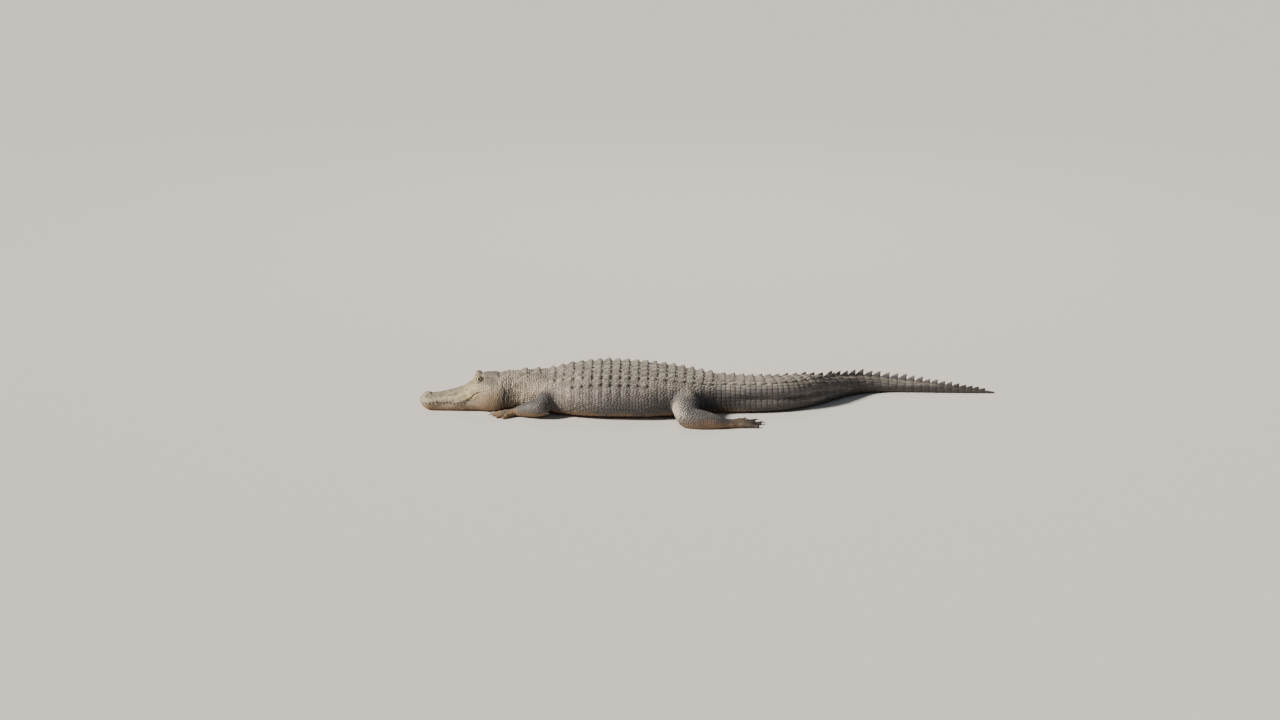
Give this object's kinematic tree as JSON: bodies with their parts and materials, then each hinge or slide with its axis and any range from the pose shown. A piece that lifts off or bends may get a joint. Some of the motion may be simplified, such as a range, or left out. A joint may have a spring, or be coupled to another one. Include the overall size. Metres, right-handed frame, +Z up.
{
  "type": "american alligator",
  "caption": "Life-size still model of an American alligator lying at rest on its belly, jaws closed, tail curving gently to one side.",
  "frame": {"origin": "on the flat of the belly where it meets the ground, under the middle of the trunk", "axes": "+X from head to tail, +Y the animal's right side, +Z up"},
  "size_m": [2.9219, 0.9283, 0.2283],
  "materials": {
    "hide": "scaly, matt, grey-brown",
    "claw": "dark horn",
    "eye": "wet gloss"
  },
  "bodies": {
    "root": {"head": "hide", "lower_jaw": "hide", "neck": "hide", "torso": "hide", "tail_base": "hide", "tail_middle": "hide", "tail_end": "hide", "left_eye": "eye", "right_eye": "eye", "left_upper_arm": "hide", "left_forearm": "hide", "left_hand": "hide", "left_thigh": "hide", "left_shank": "hide", "left_foot": "hide", "right_upper_arm": "hide", "right_forearm": "hide", "right_hand": "hide", "right_thigh": "hide", "right_shank": "hide", "right_foot": "hide", "left_hand_claw_1": "claw", "left_hand_claw_2": "claw", "left_hand_claw_3": "claw", "left_foot_claw_1": "claw", "left_foot_claw_2": "claw", "left_foot_claw_3": "claw", "right_hand_claw_1": "claw", "right_hand_claw_2": "claw", "right_hand_claw_3": "claw", "right_foot_claw_1": "claw", "right_foot_claw_2": "claw", "right_foot_claw_3": "claw"}
  },
  "joints": []
}
